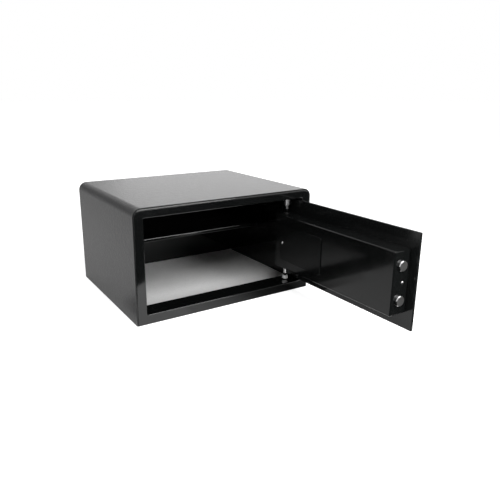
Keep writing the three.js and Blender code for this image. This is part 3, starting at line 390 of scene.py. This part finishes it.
def zinc_steel():
    """Zinc-plated sheet with its spangle and faint rolling lines."""
    s = Shader("zinc_steel", color=(0.52, 0.53, 0.54), roughness=0.32, metallic=1.0)
    s.mottle(s.span(s.cells(scale=90), low=0.1, high=0.7), (0.46, 0.47, 0.49), (0.58, 0.585, 0.59))
    s.shine(s.noise(scale=300, detail=3, rough=0.6, stretch=(1, 1, 6)), low=0.26, high=0.40)
    s.bump(s.noise(scale=500, stretch=(1, 1, 8)), depth=0.01 * MM)


def moulded_plastic(name, color, rough, depth=0.03 * MM):
    s = Shader(name, color=color, roughness=rough, Specular_IOR_Level=0.5)
    darker = tuple(c * (1 - PLASTIC_SPREAD) for c in color)
    lighter = tuple(c * (1 + PLASTIC_SPREAD) for c in color)
    s.mottle(s.noise(scale=60, detail=3), darker, lighter)
    polish = s.noise(scale=700, rough=0.6)
    s.shine(polish, rough - PLASTIC_SHINIER, rough + PLASTIC_DULLER)
    s.bump(s.noise(scale=1800, rough=0.6), depth)


def lens_smoke():
    s = Shader("lens_smoke", color=SMOKE, roughness=0.05, Specular_IOR_Level=0.5, Coat_Weight=0.5)
    s.shine(s.noise(scale=80, detail=3, rough=0.6), low=0.03, high=0.08)
    s.bump(s.noise(scale=60, detail=1, rough=0.4), depth=0.004 * MM)


def board_green():
    s = Shader("board_green", color=(0.02, 0.11, 0.045), roughness=0.35, Specular_IOR_Level=0.5)
    s.mottle(s.span(s.cells(scale=400), low=0.2, high=0.5), (0.016, 0.09, 0.036), (0.028, 0.13, 0.055))
    s.bump(s.cells(scale=500), depth=0.02 * MM)


def cell_wrap():
    s = Shader("cell_wrap", color=(0.05, 0.07, 0.10), roughness=0.28, Specular_IOR_Level=0.5)
    s.mottle(s.noise(scale=40, detail=3), (0.042, 0.06, 0.088), (0.06, 0.082, 0.115))
    s.bump(s.noise(scale=220, stretch=(1, 4, 4)), depth=0.02 * MM)


def key_print():
    s = Shader("key_print", color=(0.78, 0.78, 0.76), roughness=0.45, Specular_IOR_Level=0.4)
    s.mottle(s.noise(scale=900), (0.72, 0.72, 0.70), (0.82, 0.82, 0.80))
    s.bump(s.noise(scale=1500, detail=1), depth=0.01 * MM)


def make_materials():
    textured_black()
    gloss_black()
    cover_black()
    frame_black()
    shelf_black()
    # One coat for plate and box; the plate's lighter tone is painted light.
    door_black("plate_black_painted_light", tone=0.009, specular=0.30)
    door_black("box_black", tone=0.0045, specular=0.26)
    # The hinges' steel comes in lit and shaded copies: the lower pin and bush are lighter, as painted
    # light, and the upper pin and bush darker, as painted shade.
    plain_steel("pin_steel", tone=0.26, rough=0.32, node="upper_hinge_pin", shade_height=UPPER_PIN_SHADE)
    plain_steel("dark_steel", tone=0.07, rough=0.40)
    plain_steel("lock_steel", tone=0.45, rough=0.28)
    plain_steel("lower_bush_lit_steel", tone=0.95, rough=0.75, node="lower_hinge_bush", shade_height=LOWER_BUSH_SHADE)
    plain_steel("lower_pin_lit_steel", tone=0.65, rough=0.20, node="lower_hinge_pin", shade_height=LOWER_PIN_SHADE)
    felt_gray()
    chrome()
    bolt_chrome()
    zinc_steel()
    moulded_plastic("black_plastic", color=(0.018, 0.019, 0.020), rough=0.45)
    moulded_plastic("key_plastic", color=(0.060, 0.062, 0.065), rough=0.40, depth=0.02 * MM)
    lens_smoke()
    board_green()
    cell_wrap()
    moulded_plastic("nylon", color=(0.022, 0.022, 0.023), rough=0.5)
    key_print()


def dress(obj, name):
    """Gives a piece one of the materials."""
    obj.data.materials.clear()
    obj.data.materials.append(Shader.made[name])


# CAD nodes, with smooth rounds and finer finishes

CREASE = math.radians(34)
WELD = 0.004 * MM
FLAT_WEIGHT = 90
FLAT_THRESHOLD = 0.0000001
FINER = {
    "upper_bolt": "bolt_chrome",
    "lower_bolt": "bolt_chrome",
    "lock_box": "box_black",
    "door_plate": "plate_black_painted_light",
    "front_frame": "frame_black",
    "shelf": "shelf_black",
    "key_barrel": "lock_steel",
    "key_plug": "lock_steel",
    "upper_hinge_pin": "pin_steel",
    "upper_hinge_bush": "lock_steel",
    "upper_pin_washer": "dark_steel",
    "lower_pin_washer": "dark_steel",
    "lower_hinge_bush": "lower_bush_lit_steel",
    "lower_hinge_pin": "lower_pin_lit_steel",
}


def smoothing_group():
    """Welds the CAD facets and shades them smoothly up to the crease angle."""
    group = bpy.data.node_groups.new("smooth_rounds", "GeometryNodeTree")
    for direction in ("INPUT", "OUTPUT"):
        group.interface.new_socket("Geometry", in_out=direction, socket_type="NodeSocketGeometry")
    nodes, links = group.nodes, group.links
    start = nodes.new("NodeGroupInput")
    end = nodes.new("NodeGroupOutput")
    weld = nodes.new("GeometryNodeMergeByDistance")
    weld.inputs["Distance"].default_value = WELD
    angle = nodes.new("GeometryNodeInputMeshEdgeAngle")
    sharp = nodes.new("FunctionNodeCompare")
    sharp.data_type = "FLOAT"
    sharp.operation = "GREATER_THAN"
    sharp.inputs[1].default_value = CREASE
    normals = nodes.new("GeometryNodeSetMeshNormal")
    normals.mode = "SHARPNESS"
    normals.inputs["Remove Custom"].default_value = True
    links.new(start.outputs[0], weld.inputs["Geometry"])
    links.new(weld.outputs[0], normals.inputs["Mesh"])
    links.new(angle.outputs[0], sharp.inputs[0])
    links.new(sharp.outputs[0], normals.inputs["Edge Sharpness"])
    links.new(normals.outputs[0], end.inputs[0])
    return group


def smooth(obj, group):
    """Rounds are shaded round, and the flat faces next to them stay flat."""
    modifier = obj.modifiers.new("smooth_rounds", "NODES")
    modifier.node_group = group
    weights = obj.modifiers.new("flat_faces", "WEIGHTED_NORMAL")
    weights.mode = "FACE_AREA"
    weights.weight = FLAT_WEIGHT
    weights.thresh = FLAT_THRESHOLD
    weights.keep_sharp = True


def dress_cad_nodes():
    slots = {row["node"]: row["material_slot"] for row in frame["record"]["subparts"]}
    group = smoothing_group()
    for name, obj in frame["nodes"].items():
        dress(obj, FINER.get(name, slots[name]))
        smooth(obj, group)


# Stage: a glowing floor and world, soft lamps, and dark cards for the gloss to mirror, two of them
# painted shadows on the floor

WHITE = (1, 1, 1)
WORLD_LIGHT = 0.26
WORLD_SEEN = 1.0
FLOOR_COLOR = (0.84, 0.84, 0.84)
CAMERA_GLOW = 0.79
MIRROR_GLOW = 0.40
FLOOR_HALF = 25.0
FLOOR_DROP = 0.4 * MM
CARD_RISE = 1.0 * MM
MATT_ROUGHNESS = 0.9
CARD_BLACK = (0.01, 0.01, 0.01)
SIDE_SHADOW_GREY = (0.15, 0.15, 0.15)
REAR_GREY = (0.3, 0.3, 0.3)
SHADE_DARK = 0.17
SHADE_START = -0.06
SHADE_END = 0.10

FRONT_FLAG = [
    (-0.60, -0.110),
    (-0.60, -1.40),
    (0.50, -1.40),
    (1.10, -2.30),
    (2.10, -2.30),
    (2.10, -0.585),
    (0.27, -0.585),
    (0.15, -0.520),
    (0.05, -0.450),
    (-0.109, -0.417),
    (-0.151, -0.390),
]
# Painted shadow: a grey card on the floor left of the cabinet, standing for the cabinet's shadow as
# reflections show it.
SIDE_FLAG = [(-0.232, -0.195), (-0.262, -0.03), (-0.44, -0.03), (-0.44, -0.24)]
# Painted shadow: a card on the floor before the rail, for the door's shadow as reflections show it.
SHADE_FLAG = [(-0.10, -0.181), (-0.09, -0.226), (0.24, -0.226), (0.24, -0.181)]
REAR_FLAG = [(-1.05, 0.5, 0.25), (-0.22, 0.5, 0.25), (-0.22, 0.5, 0.60), (-1.05, 0.5, 0.60)]

KEY_LAMP = {"place": (0.11, -1.32, 1.60), "aim": (0, -0.1, 0), "size": (1.9, 0.75), "radiance": 6.9}
LOW_LAMP = {"place": (0.53, -2.23, 0.64), "aim": (0, -0.1, 0), "size": (0.42, 0.60), "radiance": 44.0}
REAR_LAMP = {"place": (1.25, 1.57, 0.8), "aim": (0, 0, 0.15), "size": (1.9, 0.9), "radiance": 1.65}


def rays(tree, *kinds):
    """One for the named kinds of ray, nought for the rest."""
    path = tree.nodes.new("ShaderNodeLightPath")
    seen = path.outputs[f"Is {kinds[0]} Ray"]
    for kind in kinds[1:]:
        either = tree.nodes.new("ShaderNodeMath")
        either.operation = "MAXIMUM"
        tree.links.new(seen, either.inputs[0])
        tree.links.new(path.outputs[f"Is {kind} Ray"], either.inputs[1])
        seen = either.outputs[0]
    return seen


def strength(tree, seen, low, high):
    """The low value where a kind of ray is not seen, the high one where it is."""
    node = tree.nodes.new("ShaderNodeMapRange")
    node.inputs["To Max"].default_value = high
    if isinstance(low, float):
        node.inputs["To Min"].default_value = low
    else:
        tree.links.new(low, node.inputs["To Min"])
    tree.links.new(seen, node.inputs["Value"])
    return node.outputs["Result"]


def add_world():
    """White for what the camera, metal and glass see, and a soft fill for the object."""
    world = bpy.data.worlds.new("studio")
    bpy.context.scene.world = world
    world.use_nodes = True
    tree = world.node_tree
    background = tree.nodes["Background"]
    background.inputs["Color"].default_value = (*WHITE, 1)
    seen = rays(tree, "Camera", "Glossy", "Transmission")
    tree.links.new(strength(tree, seen, WORLD_LIGHT, WORLD_SEEN), background.inputs["Strength"])


def matt_material(name, color):
    material = bpy.data.materials.new(name)
    material.use_nodes = True
    surface = material.node_tree.nodes["Principled BSDF"]
    surface.inputs["Base Color"].default_value = (*color, 1)
    surface.inputs["Roughness"].default_value = MATT_ROUGHNESS
    surface.inputs["Specular IOR Level"].default_value = 0.0
    return material


def shaded_material(name, start, end):
    """A card's colour, from white at one x to dark grey at the other: a painted shadow of the door and
    cabinet on the floor.
    """
    material = matt_material(name, WHITE)
    tree = material.node_tree
    where = tree.nodes.new("ShaderNodeTexCoord")
    split = tree.nodes.new("ShaderNodeSeparateXYZ")
    fade = tree.nodes.new("ShaderNodeMapRange")
    limits = {"From Min": start, "From Max": end, "To Min": 1.0, "To Max": SHADE_DARK}
    for socket, value in limits.items():
        fade.inputs[socket].default_value = value
    tree.links.new(where.outputs["Object"], split.inputs["Vector"])
    tree.links.new(split.outputs["X"], fade.inputs["Value"])
    surface = tree.nodes["Principled BSDF"]
    tree.links.new(fade.outputs["Result"], surface.inputs["Base Color"])
    return material


def add_card(name, corners, material):
    """A flat stage piece."""
    mesh = bpy.data.meshes.new(name)
    mesh.from_pydata(corners, [], [tuple(range(len(corners)))])
    mesh.materials.append(material)
    card = link_object(name, mesh)
    return card


def level(outline, height):
    """The corners of a flat outline at one height."""
    return [(x, y, height) for x, y in outline]


def add_floor():
    material = matt_material("floor", FLOOR_COLOR)
    tree = material.node_tree
    surface = tree.nodes["Principled BSDF"]
    surface.inputs["Emission Color"].default_value = (*WHITE, 1)
    mirrored = strength(tree, rays(tree, "Glossy", "Transmission"), 0.0, MIRROR_GLOW)
    glow = strength(tree, rays(tree, "Camera"), mirrored, CAMERA_GLOW)
    tree.links.new(glow, surface.inputs["Emission Strength"])
    signs = ((-1, -1), (1, -1), (1, 1), (-1, 1))
    outline = [(x * FLOOR_HALF, y * FLOOR_HALF) for x, y in signs]
    add_card("floor", level(outline, -FLOOR_DROP), material)


def add_flag(name, corners, material):
    """A card that only reflections see."""
    card = add_card(name, corners, material)
    card.visible_camera = False
    card.visible_diffuse = False
    card.visible_transmission = False
    card.visible_volume_scatter = False
    card.visible_shadow = False


def add_softbox(name, place, aim, size, radiance, mirrored=True):
    """A square-edged lamp of the given radiance that the camera doesn't see."""
    data = bpy.data.lights.new(name, "AREA")
    data.shape = "RECTANGLE"
    data.size, data.size_y = size
    data.energy = radiance * math.pi * size[0] * size[1]
    lamp = link_object(name, data)
    lamp.location = place
    lamp.rotation_mode = "QUATERNION"
    lamp.rotation_quaternion = (Vector(aim) - Vector(place)).to_track_quat("-Z", "Y")
    lamp.visible_camera = False
    lamp.visible_glossy = mirrored


def add_stage():
    add_world()
    add_floor()
    add_softbox("key_softbox", **KEY_LAMP)
    add_softbox("low_softbox", **LOW_LAMP, mirrored=False)
    add_softbox("rear_softbox", **REAR_LAMP)
    add_flag("front_flag", level(FRONT_FLAG, CARD_RISE), matt_material("front_flag", CARD_BLACK))
    add_flag("side_flag", level(SIDE_FLAG, CARD_RISE), matt_material("side_flag", SIDE_SHADOW_GREY))
    shade = shaded_material("shade_flag", SHADE_START, SHADE_END)
    add_flag("shade_flag", level(SHADE_FLAG, CARD_RISE), shade)
    add_flag("rear_flag", REAR_FLAG, matt_material("rear_flag", REAR_GREY))


def new_piece(name, mesh, material, body):
    """A piece of the object that rides on one of its bodies."""
    obj = link_object(name, mesh)
    dress(obj, material)
    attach(obj, body)
    return obj


# Floor mat

MAT_COLUMNS = 148
MAT_ROWS = 118
MAT_INSET = 0.3 * MM
MAT_EDGE = 1.6 * MM
MAT_EDGE_FALL = 1.4 * MM
MAT_TOP_DROP = 0.35 * MM
MAT_SWELL = 0.25 * MM
MAT_LIFT = 0.1 * MM
WAVE_SEED = 7
WAVE_COUNT = 9
WAVE_NUMBER_LOW = 8
WAVE_NUMBER_HIGH = 26


def felt_waves():
    """Long low waves, each by its number, direction and phase."""
    rng = np.random.default_rng(WAVE_SEED)
    waves = []
    for _ in range(WAVE_COUNT):
        number = rng.uniform(WAVE_NUMBER_LOW, WAVE_NUMBER_HIGH)
        direction = rng.uniform(0, math.tau)
        phase = rng.uniform(0, math.tau)
        waves.append((number, direction, phase))
    return waves


def swell(waves, x, y):
    """The mean of the waves at a place, from -1 to 1."""
    heights = [math.sin(k * (x * math.cos(a) + y * math.sin(a)) + p) for k, a, p in waves]
    return sum(heights) / len(waves)


def felt_mesh(low, high):
    """A slab with soft edges and a slightly uneven top."""
    width = high.x - low.x - 2 * MAT_INSET
    length = high.y - low.y - 2 * MAT_INSET
    bm = bmesh.new()
    waves = felt_waves()
    top, bottom = [], []
    for j in range(MAT_ROWS + 1):
        top.append([])
        bottom.append([])
        y = low.y + MAT_INSET + length * (j / MAT_ROWS)
        for i in range(MAT_COLUMNS + 1):
            x = low.x + MAT_INSET + width * (i / MAT_COLUMNS)
            gap = min(x - low.x, high.x - x, y - low.y, high.y - y) - MAT_INSET
            fall = max(0.0, 1 - gap / MAT_EDGE)
            z = high.z - MAT_TOP_DROP + MAT_SWELL * swell(waves, x, y) - fall * fall * MAT_EDGE_FALL
            top[j].append(bm.verts.new((x, y, z)))
            bottom[j].append(bm.verts.new((x, y, low.z + MAT_LIFT)))
    for j in range(MAT_ROWS):
        for i in range(MAT_COLUMNS):
            bm.faces.new((top[j][i], top[j][i + 1], top[j + 1][i + 1], top[j + 1][i]))
            bm.faces.new((bottom[j][i], bottom[j + 1][i], bottom[j + 1][i + 1], bottom[j][i + 1]))
    rim = [(0, i) for i in range(MAT_COLUMNS)]
    rim += [(j, MAT_COLUMNS) for j in range(MAT_ROWS)]
    rim += [(MAT_ROWS, i) for i in range(MAT_COLUMNS, 0, -1)]
    rim += [(j, 0) for j in range(MAT_ROWS, 0, -1)]
    for (j0, i0), (j1, i1) in zip(rim, rim[1:] + rim[:1]):
        bm.faces.new((bottom[j0][i0], bottom[j1][i1], top[j1][i1], top[j0][i0]))
    mesh = bpy.data.meshes.new("felt_mat")
    bm.to_mesh(mesh)
    bm.free()
    mesh.polygons.foreach_set("use_smooth", [True] * len(mesh.polygons))
    return mesh, (width, length)


def add_mat():
    mesh, flat = felt_mesh(*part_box("floor_mat"))
    mat = new_piece("felt_mat", mesh, "felt_gray", "cabinet")
    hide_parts("floor_mat")


# Key figures

FIGURES = "123456789*0#"
FIGURE_SIZE = 8.5 * MM
FIGURE_DEPTH = 0.05 * MM
FIGURE_BOLDNESS = 0.12 * MM
FIGURE_STEPS = 4
FIGURE_RISE = 0.02 * MM
FACING = Matrix(((0, 0, 1), (1, 0, 0), (0, 1, 0))).to_4x4()


def figure_mesh(name, figure):
    """A character as a thin mesh round the origin."""
    curve = bpy.data.curves.new(name, "FONT")
    curve.body = figure
    curve.size = FIGURE_SIZE
    curve.extrude = FIGURE_DEPTH
    curve.offset = FIGURE_BOLDNESS
    curve.resolution_u = FIGURE_STEPS
    curve.align_x = "CENTER"
    text = link_object("text", curve)
    bpy.context.view_layer.update()
    evaluated = text.evaluated_get(bpy.context.evaluated_depsgraph_get())
    mesh = bpy.data.meshes.new_from_object(evaluated)
    bpy.data.objects.remove(text)
    corners = np.array([v.co for v in mesh.vertices])
    middle = (corners.min(0) + corners.max(0)) / 2
    mesh.transform(Matrix.Translation(-Vector(middle)))
    mesh.name = name
    return mesh


def add_key_figures():
    """Puts each key's figure on its front, which looks along x at rest."""
    for number, figure in enumerate(FIGURES, 1):
        key = f"key_{number}"
        name = f"figure_{number}"
        low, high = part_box(key)
        middle = (low + high) / 2
        mesh = figure_mesh(name, figure)
        mesh.transform(FACING)
        mesh.transform(Matrix.Translation((high.x + FIGURE_RISE, middle.y, middle.z)))
        new_piece(name, mesh, "key_print", key)


add_camera()
make_materials()
add_stage()
dress_cad_nodes()
add_mat()
add_key_figures()

bpy.context.scene.view_settings.view_transform = "Standard"
